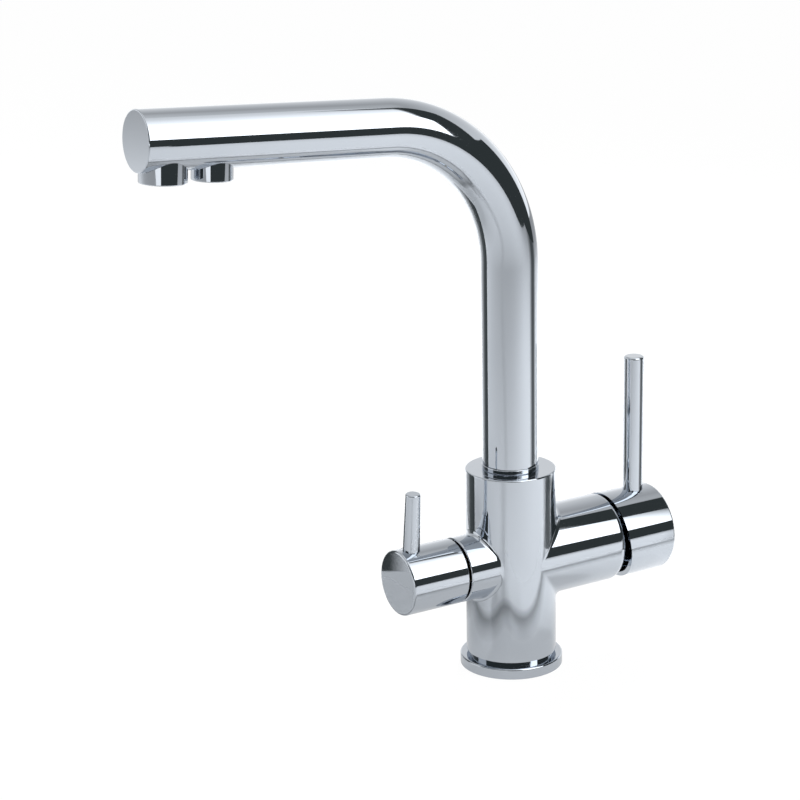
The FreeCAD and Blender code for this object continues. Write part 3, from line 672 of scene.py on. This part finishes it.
def acrossBorder(tree, coord):
    # distance from a rectangle with round corners, spread over the border's width
    place = addNode(tree, "ShaderNodeMapping", vector_type="TEXTURE",
                    Location=(*paintedShadowBand["middle"], 0.0),
                    Rotation=(0.0, 0.0, math.radians(paintedShadowBand["turn"])))
    tree.links.new(coord.outputs["Object"], place.inputs["Vector"])
    corner = paintedShadowBand["corner"]
    wide, deep = paintedShadowBand["half"]
    steps = (
        ("ABSOLUTE", None),
        ("SUBTRACT", (wide - corner, deep - corner, 1.0)),
        ("MAXIMUM", (0.0, 0.0, 0.0)),
        ("LENGTH", None),
    )
    last = place.outputs["Vector"]
    for operation, amount in steps:
        step = addNode(tree, "ShaderNodeVectorMath", operation=operation)
        if amount:
            step.inputs[1].default_value = amount
        tree.links.new(last, step.inputs[0])
        last = step.outputs["Value" if operation == "LENGTH" else "Vector"]
    inner, outer = paintedShadowBand["border"]
    spread = mapRange(tree, corner + inner, corner + outer)
    tree.links.new(last, spread.inputs["Value"])
    return spread.outputs["Result"]


# lays the card of painted shadow just above the table
def layShadowBand():
    (x, y), (wide, deep), margin = paintedShadowBand["middle"], paintedShadowBand["half"], paintedShadowBand["margin"]
    wide, deep = wide + margin, deep + margin
    corners = flat(x - wide, x + wide, y - deep, y + deep, paintedShadowBand["level"])
    card("shadowBandCard", corners, softCard("shadowBandCard", paintedShadowBand["ramp"], acrossBorder))


flags = {
    "leftFlag": {
        "azimuth": 127.0,
        "distance": 0.224,
        "span": (-0.17, 0.055),
        "foot": 0.001,
        "top": 0.20,
        "ramp": ((0.0, 0.0), (0.222, 0.5), (0.413, 0.62), (0.578, 0.92), (0.911, 0.99), (0.956, 0.0)),
    },
    "rightFlag": {
        "azimuth": -20.0,
        "distance": 0.21,
        "span": (-0.075, 0.075),
        "foot": 0.001,
        "top": 0.30,
        "ramp": ((0.0, 0.0), (0.35, 0.9), (0.65, 0.9), (1.0, 0.0)),
    },
}


def standFlag(name, settings):
    azimuth = math.radians(settings["azimuth"])
    middle = Vector((math.cos(azimuth), math.sin(azimuth))) * settings["distance"]
    across = Vector((-math.sin(azimuth), math.cos(azimuth)))
    near, far = (middle + across * offset for offset in settings["span"])
    corners = upright(near, far, settings["foot"], settings["top"])
    card(name, corners, softCard(name, settings["ramp"], acrossCard))


lamps = {
    "keyLamp": {
        "place": (0.4, -0.55, 0.65), "aim": (0.15, -0.45, 0.0), "size": 0.5, "power": 2.9},
    "backLamp": {
        "place": (0.6, 0.5, 0.75), "aim": (0.1, 0.25, 0.0), "size": 0.2, "power": 9.0},
    "farLamp": {
        "place": (-1.1, 1.4, 1.2), "aim": (-1.1, 1.4, 0.0), "size": 0.8, "power": 13.0},
}


def hangLamp(name, settings):
    lamp = bpy.data.lights.new(name, "AREA")
    lamp.shape = "DISK"
    lamp.size = settings["size"]
    lamp.energy = settings["power"]
    place = Vector(settings["place"])
    away = place - Vector(settings["aim"])
    turn = away.to_track_quat("Z", "Y").to_matrix().to_4x4()
    obj = bpy.data.objects.new(name, lamp)
    obj.matrix_world = Matrix.Translation(place) @ turn
    obj.visible_camera = False
    obj.visible_glossy = False
    scene.collection.objects.link(obj)


def buildStudio():
    dark = glow("darkCard", shade, 1.0)
    layTable()
    hangSoftBox()
    standFrontCards(dark)
    layFloorShade()
    layShadowBand()
    standSideCards(dark)
    for name, settings in flags.items():
        standFlag(name, settings)
    for name, settings in lamps.items():
        hangLamp(name, settings)


# Sky: white for the camera, a ramp of greys by height for the chrome, and an even light for the rest

sky = {
    "forCamera": 1.0,
    "forShade": 0.50,
    "forChrome": 1.4,
    "levels": ((0.0, 1.0), (0.29, 0.68), (0.59, 0.53), (0.77, 0.385),
               (0.87, 0.557), (0.90, 0.643), (1.0, 0.714)),
}


def buildSky():
    world = bpy.data.worlds.new("studioRoom")
    scene.world = world
    world.use_nodes = True
    tree = world.node_tree
    tree.nodes.clear()
    out = addNode(tree, "ShaderNodeOutputWorld")
    coord = addNode(tree, "ShaderNodeTexCoord")
    split = addNode(tree, "ShaderNodeSeparateXYZ")
    ramp = greyRamp(tree, sky["levels"])
    tree.links.new(coord.outputs["Generated"], split.inputs["Vector"])
    tree.links.new(split.outputs["Z"], ramp.inputs["Fac"])
    room = addNode(tree, "ShaderNodeBackground", Strength=sky["forChrome"])
    tree.links.new(ramp.outputs["Color"], room.inputs["Color"])
    plain = addNode(tree, "ShaderNodeBackground", Color=white, Strength=sky["forCamera"])
    dim = addNode(tree, "ShaderNodeBackground", Color=white, Strength=sky["forShade"])
    path = addNode(tree, "ShaderNodeLightPath")
    shown = mixShaders(tree, path.outputs["Is Glossy Ray"],
                       dim.outputs["Background"], room.outputs["Background"])
    mixed = mixShaders(tree, path.outputs["Is Camera Ray"], shown, plain.outputs["Background"])
    tree.links.new(mixed, out.inputs["Surface"])


buildStudio()
buildSky()
print("studio lit")
